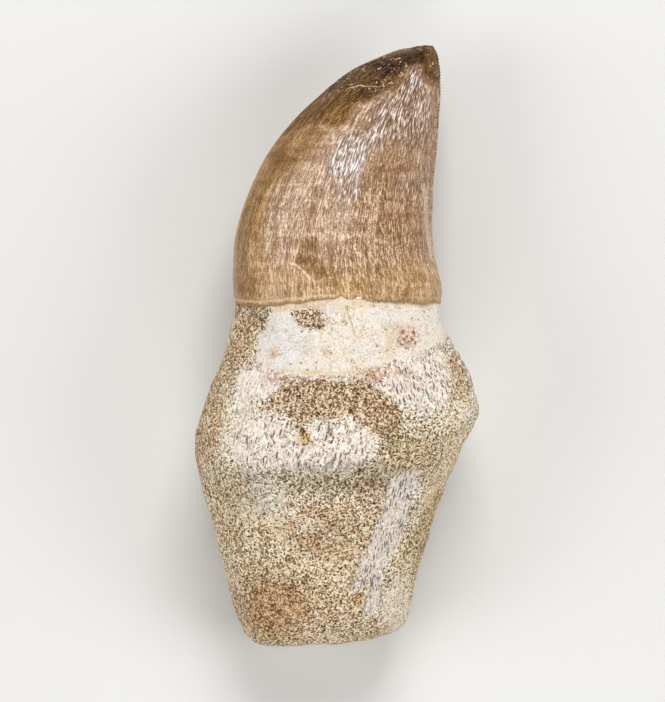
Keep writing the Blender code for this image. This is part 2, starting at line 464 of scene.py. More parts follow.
def root_fields(points):
    """How much sand, polish, and so on there is at each point of the root."""
    patches = rough(points, 7, seed=1)
    under = 1 - upper(points)
    crust = within(points, FRONT_CRUST, 1.2)
    front_bone = within(points, FRONT_BONE, 1.6)
    sand = 0.86 - 0.5 * under * rise(patches, 0.1, 0.35)
    sand = toward(sand, within(points, MIDDLE_BONE, 3), 0.16)
    sand = toward(sand, front_bone, 0.04)
    sand = toward(sand, within(points, HIND_BONE, 1.6), 0.06)
    sand = toward(sand, spot(points, -1.5, -5.2, 8.5, 0.9), 0.35)
    sand = toward(sand, spot(points, -12, -24.2, 4.5, 3), 0.68)
    sand = toward(sand, spot(points, 9.8, -41, 2.2, 4.5), 0.45)
    sand = toward(sand, spot(points, 14, -15, 6, 5), 0.78)
    sand = toward(sand, spot(points, 9.5, -21.6, 5, 2.4), 0.7)
    polish = np.maximum(within(points, NECK_BAND, 1.0), under * rise(points[:, 1] + 2 * patches, -4.5, -2.5))
    sand = toward(sand, polish, 0)
    sand = toward(sand, crust, 0.97)
    coarse = np.maximum(within(points, COARSE_SAND, 1.2), 0.8 * within(points, NECK_SAND, 0.6))
    coarse = np.maximum(coarse, spot(points, -5.6, -13.2, 2.0, 0.7, turn=-65))
    sand = toward(sand, coarse, 1.1)
    sand = toward(sand, within(points, BARE_STRIP, 1.5), 0.04)
    polish = polish * (1 - crust) * (1 - coarse)
    coarse = np.maximum(coarse, 0.8 * spot(points, -10.5, -41, 6, 6))
    below_end = enamel_end(points) - points[:, 1]
    collar = rise(below_end, 1.5, 0.9) * rise(points[:, 0], 0.5, -2) * polish * upper(points)
    blue = np.maximum(spot(points, -8.4, 0.8, 4.4, 3.8), 0.7 * spot(points, 7.2, 5.2, 2.2, 1.4))
    blue = np.maximum(blue, 0.7 * spot(points, 4.5, -0.9, 2.2, 0.9))
    mottled = np.maximum(within(points, MOTTLED_BAND, 1.5), 0.5 * under * rise(patches, 0, 0.3))
    return {
        "cream": raised(0.4 * under, points, CREAM_SAND),
        "sand": sand,
        "polish": polish,
        "collar": collar,
        "coarse": coarse,
        "porous": 1 - 0.7 * front_bone,
        "strip": within(points, BARE_STRIP, 2),
        "blue": blue,
        "mottled": mottled,
        "pit": spot(points, *HIND_PIT, 2.0, 1.5, turn=-20, soft=0.7),
    }


def root_stains(points):
    """Where the bone and the sand are red, grey-green or ochre."""
    spots = rough(points, 5, seed=2)
    under = 1 - upper(points)
    rust = raised(0.35 * under * rise(spots, 0, 0.5), points, RUST_STAINS)
    olive = raised(0.4 * under * rise(-spots, 0, 0.5), points, OLIVE_STAINS)
    low_down = 0.55 * rise(points[:, 1] + 3 * spots, -22, -30)
    ochre = np.maximum(0.3 * under * rise(spots, 0.2, 0.6), low_down)
    ochre = raised(ochre, points, OCHRE_STAINS)
    ochre *= 1 - 0.25 * spot(points, 10.0, -41.0, 2.2, 4.5)
    clean = 1 - 0.9 * within(points, BARE_STRIP, 0.9)
    return {"rust": rust * clean, "olive": olive * clean, "ochre": ochre * clean}


# %% [markdown]
# ## What lies where on the crown
#
# The enamel is tan low down, with a golden margin and a darker band along the front edge, and its pale
# rosy parts on the front half are partly a painted reflection. Towards the tip it is grey and glossy,
# with a painted highlight on the grey, and it is worn to warm brown along the upper front edge and to
# almost black at the tip. A shallow flake is gone from the front half near the base.

# %% Regions of the crown
WORN_TIP = [
    (-8.9, 33.4), (-12, 38), (-3.1, 46), (10.9, 53), (19, 50), (18, 43), (16.4, 41.8), (15.0, 41.9),
    (14.1, 43.2), (13.6, 45.0), (12.6, 45.5), (11.2, 44.6), (10.3, 43.2), (9.2, 41.4), (7.3, 40.2),
    (5.0, 39.0), (3.6, 38.2), (2.7, 36.9), (1.8, 35.2), (0.0, 34.3), (-2.6, 35.4), (-5.1, 34.6),
]  # fmt: skip
# The grey enamel near the tip carries a painted highlight, lightest in this patch and this streak.
HIGHLIGHT_PATCH = [
    (2.4, 33.7), (4.6, 33.1), (5.2, 29.0), (4.0, 26.9), (-0.3, 26.6), (-1.4, 28.7), (-0.3, 31.3), (1.3, 33.4),
]  # fmt: skip
HIGHLIGHT_STREAK = [
    (12.2, 45.2), (13.6, 44.0), (14.3, 41.5), (12.8, 39.8), (10.6, 39.4), (8.6, 38.6), (6.6, 37.0),
    (7.6, 38.9), (9.3, 40.6), (10.4, 42.5), (11.4, 44.4),
]  # fmt: skip
FRONT_BAND = [
    (-14.4, 6.0), (-14.8, 11.6), (-15.0, 17.4), (-13.9, 21.2), (-12.2, 25.0), (-10.2, 28.9), (-8.0, 33.2),
]  # fmt: skip
FLAKE = [
    (-5.0, 17.4), (-6.0, 15.0), (-6.6, 13.2), (-6.7, 12.6), (-5.5, 12.0), (-4.5, 11.1), (-3.4, 10.2),
    (-1.6, 11.0), (-1.6, 14.4), (-3.2, 17.0),
]  # fmt: skip
FLAKE_STEP = [
    (-5.1, 19.6), (-5.8, 16.6), (-6.4, 14.6), (-6.9, 12.9), (-5.9, 12.2), (-5.0, 11.4), (-4.2, 10.4),
]  # fmt: skip

# Ovals again: place, half lengths, turn, strength. The first set is a painted highlight on grey enamel.
HIGHLIGHT_OVALS = [
    (-0.4, 28.2, 1.6, 1.2, 60, 0.9),
    (7.6, 35.0, 7.5, 3.6, 52, 0.45),
    (12.6, 36.6, 5.5, 3.4, 75, 0.42),
    (2.0, 25.0, 3.0, 2.4, 60, 0.42),
    (12.0, 29.5, 7.0, 4.2, 80, 0.3),
]
# Pale rosy enamel, partly a painted reflection of light on the front slope.
PALE_AND_REFLECTED = [
    (-7.0, 22.6, 7.0, 2.4, 68, 1.0),
    (-1.5, 28.5, 6.0, 2.0, 58, 0.7),
    (-5.6, 11.4, 2.6, 1.2, -25, 1.0),
    (-8.0, 15.0, 5.0, 1.6, 80, 0.8),
    (0.5, 19.0, 3.5, 3.0, 70, 0.5),
    (15.0, 14.0, 8.0, 0.9, 88, 0.5),
]
print("ovals:", len(HIGHLIGHT_OVALS) + len(PALE_AND_REFLECTED))


# %% Kinds of enamel on the crown
def crown_fields(points):
    """How much of each kind of enamel there is at each point of the crown."""
    across = cross_place(points, 0)
    under = 1 - upper(points)
    drift = rough(points, 6, seed=3)
    level = points[:, 1] + 3 * drift
    worn = np.maximum(within(points, WORN_TIP, 3.0), under * rise(level, 40, 45))
    worn = np.maximum(worn, 0.45 * spot(points, -7.0, 31.2, 6.5, 3.4, 50))
    burnt = np.maximum(spot(points, 11.6, 46.8, 7.4, 3.0, 27, soft=0.35), under * rise(level, 43, 47))
    burnt = np.maximum(burnt, 0.6 * spot(points, 15.3, 43.0, 2.4, 1.5, 100))
    burnt = np.maximum(burnt, 0.6 * rise(points[:, 1], 35, 43))
    burnt *= 1 - 0.5 * spot(points, 15.3, 46.6, 1.9, 1.0, 75)
    # Grey enamel with a painted highlight over it, where the crown's gloss shows.
    silver = np.maximum(0.85 * within(points, HIGHLIGHT_PATCH, 3.0), 0.55 * within(points, HIGHLIGHT_STREAK, 3.0))
    silver = raised(silver, points, HIGHLIGHT_OVALS)
    silver *= 1 - 0.75 * spot(points, 8.2, 28.6, 3.6, 1.8, 0)
    silver = np.maximum(silver, 0.4 * under * rise(points[:, 1] + 6 * drift, 28, 38))
    golden = rise(-across + 0.08 * drift, 0.62, 0.82) * (1 - 0.75 * rise(points[:, 1], 21, 13))
    golden = np.maximum(golden, 0.55 * spot(points, -6.0, 32.4, 7.0, 3.0, 52))
    deep = np.maximum(rise(across + 0.1 * drift, 0.1, 0.5), spot(points, -5.6, 31.4, 7.5, 3.6, 52))
    front_half = rise(-across + 0.1 * drift, -0.1, 0.2) * rise(-across, 0.9, 0.7)
    band = np.maximum(along_path(points, FRONT_BAND, 1.6), 0.7 * under * rise(-across, 0.84, 0.93))
    band = np.maximum(band, spot(points, -15.0, 9.4, 2.0, 4.4))
    # Pale parts of the front half, partly a painted reflection.
    pale = raised(0.6 * front_half * rise(points[:, 1], 10, 16), points, PALE_AND_REFLECTED)
    warm = np.maximum(spot(points, 1.5, 9.0, 2.5, 2.2), 0.8 * spot(points, 13.0, 10.0, 5.0, 3.5))
    warm = np.maximum(warm, 0.9 * rise(-across, 0.45, 0.75) * rise(points[:, 1], 21, 13))
    warm = np.maximum(warm, 0.75 * rise(points[:, 1] + 1.5 * drift, 15, 10) * upper(points))
    return {
        "deep": deep,
        "worn": worn,
        "burnt": burnt,
        "silver": silver,
        "golden": golden,
        "band": band,
        "pale": pale,
        "warm": np.maximum(warm, spot(points, 14.6, 8.2, 1.2, 0.9)),
        "flake": within(points, FLAKE, 1.0) * rise(distance_to(points, FLAKE_STEP), 5.0, 1.5),
        "striped": spot(points, -6.6, 8.6, 4.6, 2.4),
        "above_end": points[:, 1] - enamel_end(points),
    }


# %% [markdown]
# ## Relief of the root
#
# Displace modifiers push the surface along its normals by a noise texture. A vertex group keeps
# each one to its own ground: grains where there is sand, shallow furrows on bare bone. What has a
# place of its own, such as the small rough pit on the hind side, is moved in code. So are the hind
# edge, which sharpens the corner that the solid has there, and the hind half of the root's broken
# end, both by no more than half a millimetre.


# %% Displace helper
def displace(piece, size, height, weights, basis="ORIGINAL_PERLIN", depth=1):
    """Displaces the piece by noise of this size and height, in mm, where the weights say."""
    texture = bpy.data.textures.new("relief", "CLOUDS")
    texture.noise_basis = basis
    texture.noise_scale = size * MM
    texture.noise_depth = depth
    group = piece.vertex_groups.new(name="relief")
    for index, weight in enumerate(np.clip(weights, 0, 1)):
        if weight > 0.01:
            group.add([index], float(weight), "REPLACE")
    apply_modifier(
        piece,
        "DISPLACE",
        texture=texture,
        texture_coords="LOCAL",
        strength=height * MM,
        mid_level=0.5,
        vertex_group=group.name,
    )
    piece.vertex_groups.clear()
    bpy.data.textures.remove(texture)


def keep_in_box(piece):
    """Keeps the piece in the solid's box, and so flat where it rests."""
    low, high = np.array(solid_low) / MM, np.array(solid_high) / MM
    move_points(piece, np.clip(points_of(piece), low, high))


# %% Fields and outline of the root
STRAND_SLANT, STRAND_TURNS_AT = 0.012, -6
HIND_LEVELS = (-44, -41, -38, -31, -27, -24, -15, -12.5, -10.4, -8)
HIND_SHIFTS = (0, -0.2, -0.5, -0.45, -0.25, -0.45, -0.4, -0.1, 0.25, 0)
END_LIFT = 0.35

points = points_of(root)
fields = root_fields(points)
stains = root_stains(points)
for name, values in {**fields, **stains}.items():
    store(root, name, values)
across = cross_place(points, 0)
slant = STRAND_SLANT * (points[:, 1] - STRAND_TURNS_AT) * within(points, HIND_BONE, 4)
store(root, "strand", np.column_stack([across + slant, cross_place(points, 2), points[:, 1]]))

points[:, 0] += np.interp(points[:, 1], HIND_LEVELS, HIND_SHIFTS) * rise(across, 0.4, 0.95)
points[:, 1] += END_LIFT * rise(points[:, 0], 0, 4) * rise(points[:, 1], -44, -47)
move_points(root, points)
print("root fields:", ", ".join([*fields, *stains]))

# %% Sand, furrows and hollows of the root
SAND_THICKNESS, USUAL_SAND = 0.22, 0.6
COARSE_SAND_DEPTH, STRIP_DEPTH, HOLLOW_DEPTH = 0.35, 0.12, 0.3
PIT_DEPTH, PIT_RIM = 0.8, 0.15

on_neck = rise(points[:, 1], 1, 6)
bare = (1 - np.clip(fields["sand"], 0, 1)) * (1 - fields["polish"])
# In turn: broad lumps, grains, clumps of grains, furrows in bare bone, dents in the polished neck.
displace(root, 5, 0.7, (1 - on_neck) * (1 - 0.7 * fields["polish"]), depth=2)
displace(root, 0.55, 0.34, fields["sand"] * (1 - 0.3 * on_neck), basis="VORONOI_F1")
displace(root, 1.3, 0.4, fields["sand"], depth=2)
displace(root, 0.8, 0.16, bare, basis="VORONOI_F2_F1")
displace(root, 2.6, 0.45, fields["polish"] * 0.8)

points = points_of(root)
level_change = SAND_THICKNESS * (np.clip(fields["sand"], 0, 1) - USUAL_SAND)
level_change -= COARSE_SAND_DEPTH * fields["coarse"] * within(points, COARSE_SAND, 3)
level_change -= STRIP_DEPTH * within(points, BARE_STRIP, 0.9)
level_change -= HOLLOW_DEPTH * spot(points, 3.0, -21.0, 13, 1.8, soft=0.8)
level_change -= PIT_DEPTH * spot(points, *HIND_PIT, 1.2, 1.0, soft=0.7)
level_change += PIT_RIM * spot(points, HIND_PIT[0] + 2.0, HIND_PIT[1] + 0.6, 0.8, 1.6)
points += normals_of(root) * (level_change * (1 - 0.75 * on_neck))[:, None]
move_points(root, points)
keep_in_box(root)
print("root levels from", round(level_change.min(), 2), "to", round(level_change.max(), 2), "mm")

# %% [markdown]
# ## Relief of the crown
#
# These ridges follow the crown's own lines, which a texture in plain space can't do. So the noise
# is read at each point's place in its cross-section, stretched along the tooth, and the points are
# moved along their normals. The saw edge is a row of small beads along the hind keel.

# %% Heights on the crown
STRIA_CELLS, STRIA_LENGTH = 30, 7
RIDGE_HEIGHT, RIB_HEIGHT, BAND_HEIGHT = 0.045, 0.06, 0.045
GROOVE_LEVEL, GROOVE_HALF_WIDTH, GROOVE_DEPTH = 0.75, 0.28, 0.1
WEAR_DEPTH, FLAKE_DEPTH, TIP_FRONT_GROWTH = 0.16, 0.35, 0.3

points = points_of(crown)
fields = crown_fields(points)
for name, values in fields.items():
    store(crown, name, values)
across, up = cross_place(points, 0), cross_place(points, 2)
strand = np.column_stack([across, up, points[:, 1]])
store(crown, "strand", strand)

above_end = fields["above_end"]
ridge_place = strand * [STRIA_CELLS, STRIA_CELLS, 1 / STRIA_LENGTH]
ridges = RIDGE_HEIGHT * rough(ridge_place, 1) + RIB_HEIGHT * rough(ridge_place / [3, 3, 1.5], 1, seed=4)
bands = BAND_HEIGHT * rough(points * [0.04, 1, 0.04], 1.3, seed=5) * (1 - 0.6 * rise(above_end, 10, 30))
in_groove = np.exp(-(((above_end - GROOVE_LEVEL) / GROOVE_HALF_WIDTH) ** 2))
rim_groove = -GROOVE_DEPTH * in_groove * rise(above_end, -0.5, 0.1)
wear = -WEAR_DEPTH * fields["worn"] * np.abs(rough(points, 0.7, seed=6)) * rise(points[:, 1], 36, 42)
flake = -FLAKE_DEPTH * fields["flake"]
tip_front = TIP_FRONT_GROWTH * rise(points[:, 1], 40, 45.5) * rise(-across, 0, 0.9)
height = ridges + bands + rim_groove + wear + flake + tip_front
height *= rise(above_end, -0.6, 0.2)
print("crown fields:", ", ".join(fields))

# %% Saw edge and the ragged end of the enamel
SERRATION_PITCH, SERRATION_HEIGHT = 0.52, 0.16
NOTCH_X, NOTCH_HALF_WIDTH, NOTCH_DEPTH = 0.7, 0.5, 0.7

hind = rise(across, 0.93, 0.995) * rise(points[:, 1], 9, 12) * (1 - rise(points[:, 1], 46.5, 47.5))
beads = np.abs(np.sin(math.pi * points[:, 1] / SERRATION_PITCH))
height += SERRATION_HEIGHT * hind * (beads - 0.75) * rise(np.abs(up), 0.5, 0.1)
points += normals_of(crown) * height[:, None]

near_edge = 1 - rise(above_end, 0.3, 1.8)
ragged = 0.22 * rough(points * [1, 0.3, 1], 1.1, seed=7) + 0.12 * rough(points * [1, 0.3, 1], 0.45, seed=8)
notch = NOTCH_DEPTH * np.exp(-(((points[:, 0] - NOTCH_X) / NOTCH_HALF_WIDTH) ** 2)) * upper(points) ** 2
points[:, 1] += (ragged + notch) * near_edge
move_points(crown, points)
keep_in_box(crown)
for piece in (crown, root):
    only(piece)
    bpy.ops.object.shade_smooth()
print("crown relief from", round(height.min(), 2), "to", round(height.max(), 2), "mm")

# %% [markdown]
# ## Writing finishes as formulas
#
# A material is a network of nodes. To keep it readable, a wire between nodes is an object here,
# and arithmetic on wires adds the Math nodes. Every other node comes from one method.


# %% Wires and finishes
class Wire:
    """One output of a node. Arithmetic on it adds Math nodes to its finish."""

    def __init__(self, finish, socket):
        self.finish = finish
        self.socket = socket

    def also(self, output):
        """Another output of the same node."""
        return Wire(self.finish, self.socket.node.outputs[output])

    def math(self, operation, first, second=0):
        return self.finish.node("ShaderNodeMath", {"operation": operation}, {0: first, 1: second})

    def __add__(self, other):
        return self.math("ADD", self, other)

    def __sub__(self, other):
        return self.math("SUBTRACT", self, other)

    def __rsub__(self, other):
        return self.math("SUBTRACT", other, self)

    def __mul__(self, other):
        return self.math("MULTIPLY", self, other)

    __radd__ = __add__
    __rmul__ = __mul__


class Finish:
    """A material under construction."""

    def __init__(self, name):
        self.material = bpy.data.materials.new(name)
        self.material.use_nodes = True
        self.tree = self.material.node_tree
        self.shader = self.tree.nodes["Principled BSDF"]
        place = self.node("ShaderNodeTexCoord", output="Object")
        self.place = self.stretch(place, (1 / MM, 1 / MM, 1 / MM))
        wander = self.node("ShaderNodeTexNoise", inputs={"Vector": self.place, "Scale": 1.2}, output="Color")
        wander = self.vector("MULTIPLY_ADD", wander, (0.7, 0.7, 0), (-0.35, -0.35, 0))
        self.seen_from_above = self.vector("MULTIPLY_ADD", self.place, (1, 1, 0), wander)
        self.upper = self.rise(self.part_of(self.place, "Z"), 12, 16)

    def node(self, kind, settings=None, inputs=None, output=0):
        """Adds a node, sets it up, feeds its sockets with values or wires, and returns one output."""
        made = self.tree.nodes.new(kind)
        for name, value in (settings or {}).items():
            if name == "stops":
                self.set_stops(made.color_ramp.elements, value)
            else:
                setattr(made, name, value)
        for key, value in (inputs or {}).items():
            self.feed(made.inputs[key], value)
        return Wire(self, made.outputs[output])

    def feed(self, socket, value):
        if isinstance(value, Wire):
            self.tree.links.new(value.socket, socket)
        else:
            socket.default_value = value

    def set_stops(self, elements, stops):
        while len(elements) < len(stops):
            elements.new(1)
        for element, (position, colour) in zip(elements, stops):
            element.position = position
            element.color = (*colour, 1)

    def vector(self, operation, *values, output=0):
        """Maths on places or colours. Output 1 is a number, such as a distance."""
        return self.node("ShaderNodeVectorMath", {"operation": operation}, dict(enumerate(values)), output)

    def stretch(self, vector, factors):
        return self.vector("MULTIPLY", vector, factors)

    def part_of(self, vector, axis):
        return self.node("ShaderNodeSeparateXYZ", inputs={0: vector}, output=axis)

    def near(self, path, half_width):
        """1 on a thin line through these places on the upper side, and 0 beside it."""
        nearest = None
        for (x, y), (next_x, next_y) in zip(path, path[1:]):
            side = (next_x - x, next_y - y, 0)
            share_of = tuple(step / (side[0] ** 2 + side[1] ** 2) for step in side)
            from_start = self.vector("SUBTRACT", self.seen_from_above, (x, y, 0))
            share = self.vector("DOT_PRODUCT", from_start, share_of, output=1)
            share = self.node("ShaderNodeClamp", inputs={0: share})
            foot = self.node("ShaderNodeVectorMath", {"operation": "SCALE"}, {0: side, 3: share})
            away = self.vector("DISTANCE", from_start, foot, output=1)
            nearest = away if nearest is None else away.math("MINIMUM", away, nearest)
        return self.rise(nearest, half_width + 0.12, half_width - 0.04) * self.upper

    def kept(self, name, output="Fac"):
        """A number or a vector that was stored on the piece's points."""
        return self.node("ShaderNodeAttribute", {"attribute_name": name}, output=output)

    def noise(self, size, vector=None, detail=2, roughness=0.5):
        """Noise from 0 to 1 with features of this size, in mm unless the vector is in other units."""
        inputs = {"Vector": vector or self.place, "Scale": 1 / size}
        inputs |= {"Detail": detail, "Roughness": roughness}
        return self.node("ShaderNodeTexNoise", inputs=inputs)

    def cells(self, size, vector=None):
        """Distance to the middle of the nearest cell, in cell sizes."""
        inputs = {"Vector": vector or self.place, "Scale": 1 / size}
        return self.node("ShaderNodeTexVoronoi", inputs=inputs, output="Distance")

    def rise(self, value, low, high):
        """0 at low and 1 at high, smooth between. Low may be above high."""
        inputs = {"Value": value, "From Min": low, "From Max": high}
        return self.node("ShaderNodeMapRange", {"interpolation_type": "SMOOTHSTEP"}, inputs)

    def ramp(self, value, stops):
        return self.node("ShaderNodeValToRGB", {"stops": stops}, {"Fac": value})

    def steeper(self, value, gain):
        """Spreads values near 0.5 further apart."""
        inputs = {0: value, 1: gain, 2: 0.5 - 0.5 * gain}
        return self.node("ShaderNodeMath", {"operation": "MULTIPLY_ADD"}, inputs)

    def mix(self, share, first, second, blend="MIX"):
        """A colour between two others, or their blend."""
        first = (*first, 1) if isinstance(first, tuple) else first
        second = (*second, 1) if isinstance(second, tuple) else second
        settings = {"data_type": "RGBA", "blend_type": blend}
        return self.node("ShaderNodeMix", settings, {0: share, 6: first, 7: second}, 2)

    def random(self, cells, channel):
        """A random number for each cell."""
        return self.node("ShaderNodeSeparateColor", inputs={0: cells.also("Color")}, output=channel)

    def done(self, colour, roughness, height):
        """Connects the finish. The height is in mm."""
        bump = {"Height": height, "Distance": MM, "Strength": 1}
        self.feed(self.shader.inputs["Base Color"], colour)
        self.feed(self.shader.inputs["Roughness"], roughness)
        self.feed(self.shader.inputs["Normal"], self.node("ShaderNodeBump", inputs=bump))
        print(self.material.name, "has", len(self.tree.nodes), "nodes")
        return self.material


# %% [markdown]
# ## Bone, pores and sand
#
# The sand is a pattern of cells, one for each grain. A grain is there if its own random number is
# below the amount of sand at that place, so a crust breaks up into single grains at its edge, as
# real matrix does. Under it lies the bone: off-white, with slits that follow the strands.


# %% Grains and pores
GRAIN_SIZE, GRIT_SIZE, COARSE_GRIT_SIZE = 0.33, 0.3, 0.58
PORE_CELLS, SLIT_CELLS, STREAK_CELLS = (42, 42, 0.5), (58, 58, 1.0), (62, 62, 1.1)


def grain_pattern(finish):
    """Cells, one for each grain of sand, and the grit that gives the grains light and dark parts."""
    wobble = finish.node("ShaderNodeTexNoise", inputs={"Vector": finish.place, "Scale": 1.6}, output="Color")
    grain_place = finish.vector("MULTIPLY_ADD", wobble, (0.7, 0.7, 0.7), finish.place)
    grains = finish.cells(GRAIN_SIZE, grain_place)
    grit = finish.steeper(finish.noise(GRIT_SIZE, grain_place, detail=1.5), 5.2)
    coarse_grit = finish.steeper(finish.noise(COARSE_GRIT_SIZE, detail=3, roughness=0.65), 5)
    return grains, grit + (coarse_grit - grit) * finish.kept("coarse") * 0.4


def bone_pores(finish):
    """Long pores and short slits that follow the strands, and the streaks between them."""
    porous, polish, strip = finish.kept("porous"), finish.kept("polish"), finish.kept("strip")
    strand, rise_of = finish.kept("strand", "Vector"), finish.rise
    pores = finish.cells(1, finish.stretch(strand, PORE_CELLS))
    slits = finish.cells(1, finish.stretch(strand, SLIT_CELLS))
    pore = rise_of(pores - 0.26 * finish.random(pores, "Red") - (porous - 1) * 0.3, 0.16, 0.07)
    slit = rise_of(slits - 0.28 * finish.random(slits, "Red") - strip * 0.07, 0.17, 0.08)
    pore = pore * (1 - strip * 0.8)
    pore = pore.math("MAXIMUM", pore, slit * (strip * 0.4 + 0.6)) * porous * (1 - polish)
    streaks = finish.steeper(finish.noise(1, finish.stretch(strand, STREAK_CELLS), detail=2), 3)
    return pore, streaks + (0.62 - streaks) * strip * 0.6


# %% Polished neck
POLISHED = [
    (0.15, (0.52, 0.40, 0.28)),
    (0.4, (0.69, 0.60, 0.48)),
    (0.6, (0.74, 0.67, 0.595)),
    (0.85, (0.62, 0.60, 0.60)),
]
BLUE_GREY = [(0.05, (0.44, 0.41, 0.37)), (0.4, (0.65, 0.62, 0.58)), (0.8, (0.71, 0.69, 0.68))]
VEIN_BROWN = (0.52, 0.40, 0.27)


def polished_neck(finish, fine, grit):
    """Smooth bone with blue-grey parts, painted shade in their wrinkles, a brown collar, a thin seam, veins,
    dots and the red pit.
    """
    noise_at, rise_of, mix = finish.noise, finish.rise, finish.mix
    blue, mottled = finish.kept("blue"), finish.kept("mottled")
    collar, pit = finish.kept("collar"), finish.kept("pit")
    smooth_shade = finish.steeper(noise_at(2.4, detail=4, roughness=0.6), 2)
    polished = finish.ramp(smooth_shade * 0.7 + fine * 0.3, POLISHED)
    # The wrinkles are painted as shade: the blue-grey darkens along them.
    wrinkles = noise_at(1.6, finish.stretch(finish.place, (0.6, 1.3, 1)), detail=2) - 0.5
    painted_wrinkle_shade = rise_of(wrinkles.math("ABSOLUTE", wrinkles), 0.05, 0)
    blue_grey_and_wrinkle_shade = finish.ramp(smooth_shade * 0.6 + fine * 0.4 - painted_wrinkle_shade * 0.4, BLUE_GREY)
    polished = mix(blue * 0.85, polished, blue_grey_and_wrinkle_shade)
    polished = mix(collar * 0.8, polished, mix(fine, (0.46, 0.30, 0.15), (0.70, 0.52, 0.35)))
    seam_line = finish.near([(-8.6, -3.9), (-5.0, -3.9), (-2.4, -4.3), (0.5, -4.3), (3.0, -3.8)], 0.3)
    polished = mix(seam_line * rise_of(fine, 0.35, 0.6) * 0.6, polished, (0.66, 0.49, 0.28))
    dots = finish.cells(0.5)
    dot = rise_of(dots, 0.42, 0.2) * rise_of(finish.random(dots, "Red") - mottled * 0.3, 0.16, 0.12)
    polished = mix(dot * 0.5, polished, VEIN_BROWN)
    veins = rise_of(grit, 0.3, -0.2) * (mottled * 0.4 + 0.4) * (1 - blue * 0.7)
    polished = mix(veins, polished, VEIN_BROWN)
    polished = mix(rise_of(grit, 0.7, 1.2) * 0.6, polished, (0.90, 0.85, 0.78))
    specks = pit * 0.4 + finish.steeper(noise_at(0.62, detail=2, roughness=0.6), 3.4) - 0.5
    polished = mix(pit * rise_of(fine, 0.25, 0.6) * 0.4, polished, (0.66, 0.42, 0.30))
    polished = mix(rise_of(pit, 0.1, 0.5) * rise_of(specks, 0.48, 0.7), polished, (0.19, 0.07, 0.045))
    return mix(pit * rise_of(specks, 0.1, -0.2), polished, (0.95, 0.91, 0.86))


# %% Bare bone
BARE_BONE = [
    (0.1, (0.44, 0.33, 0.24)),
    (0.4, (0.69, 0.59, 0.49)),
    (0.6, (0.82, 0.75, 0.68)),
    (0.9, (0.94, 0.90, 0.85)),
]
STRIP_DARK, STRIP_LIGHT = (0.40, 0.32, 0.26), (0.80, 0.73, 0.65)


def bare_bone(finish, fine, grit, pore, streaks):
    """Porous bone, the greyer bare strip, the polished neck, and then the pores and the stains."""
    noise_at, rise_of, mix = finish.noise, finish.rise, finish.mix
    rust, olive, ochre = finish.kept("rust"), finish.kept("olive"), finish.kept("ochre")
    shade = finish.steeper(noise_at(1.2, detail=4, roughness=0.65) * 0.6 + fine * 0.4, 2.6) * 0.6
    bone = finish.ramp(shade + streaks * 0.4, BARE_BONE)
    strip_colour = mix(rise_of(grit, -0.3, 1.3), STRIP_DARK, STRIP_LIGHT)
    bone = mix(finish.kept("strip") * 0.7, bone, strip_colour)
    bone = mix(finish.kept("polish"), bone, polished_neck(finish, fine, grit))
    bone = mix(pore * 0.9, bone, (0.10, 0.075, 0.06))
    bone = mix(rust * rise_of(noise_at(0.45, detail=1), 0.42, 0.58) * 0.8, bone, (0.38, 0.15, 0.12))
    bone = mix(ochre * rise_of(noise_at(0.9), 0.3, 0.65) * 0.7, bone, (0.62, 0.44, 0.22))
    return mix(olive * rise_of(noise_at(0.5), 0.35, 0.6) * 0.7, bone, (0.24, 0.21, 0.15))


# %% Sand
SAND_COLOURS = [
    (0.08, (0.085, 0.05, 0.02)),
    (0.34, (0.29, 0.19, 0.095)),
    (0.48, (0.57, 0.415, 0.24)),
    (0.64, (0.93, 0.79, 0.57)),
    (0.85, (1.0, 0.97, 0.88)),
]


def sand_colour(finish, grains, grit, clumps, streaks):
    """Grains from dark brown to white, tinted where the sand is warm, stained or coarse."""
    noise_at, rise_of, mix = finish.noise, finish.rise, finish.mix
    coarse, cream, tone = finish.kept("coarse"), finish.kept("cream"), finish.random(grains, "Green")
    rust, olive, ochre = finish.kept("rust"), finish.kept("olive"), finish.kept("ochre")
    seam = noise_at(0.62, detail=1) - 0.5
    seam = rise_of(seam.math("ABSOLUTE", seam), 0.06, 0.01)
    grain_tone = grit * 0.64 + tone * 0.36 + noise_at(2.2, detail=2) * 0.3 + seam * 0.16
    grain_tone = grain_tone + cream * 0.19 - coarse * 0.12 + streaks * 0.14 - 0.15
    grain = finish.ramp(grain_tone, SAND_COLOURS)
    dark_grain = rise_of(finish.random(grains, "Blue"), 0.2, 0.12)
    grain = mix(dark_grain * (1 - cream * 0.5) * 0.75, grain, (0.15, 0.10, 0.05))
    grain = mix(olive * rise_of(noise_at(0.7, detail=2), 0.46, 0.38) * 0.5, grain, (0.13, 0.10, 0.06))
    rust = rust * rise_of(clumps, 0.4, 0.56)
    warmth = rise_of(noise_at(5, detail=2), 0.35, 0.7)
    grain = mix(warmth * 0.4, grain, (1.0, 0.88, 0.70), "MULTIPLY")
    grain = mix(ochre * 0.8, grain, (0.91, 0.75, 0.50), "MULTIPLY")
    grain = mix(rust * 0.9, grain, (0.72, 0.52, 0.41), "MULTIPLY")
    grain = mix(olive * 0.9, grain, (0.67, 0.65, 0.56), "MULTIPLY")
    return mix(coarse * 0.8, grain, (0.76, 0.65, 0.60), "MULTIPLY")


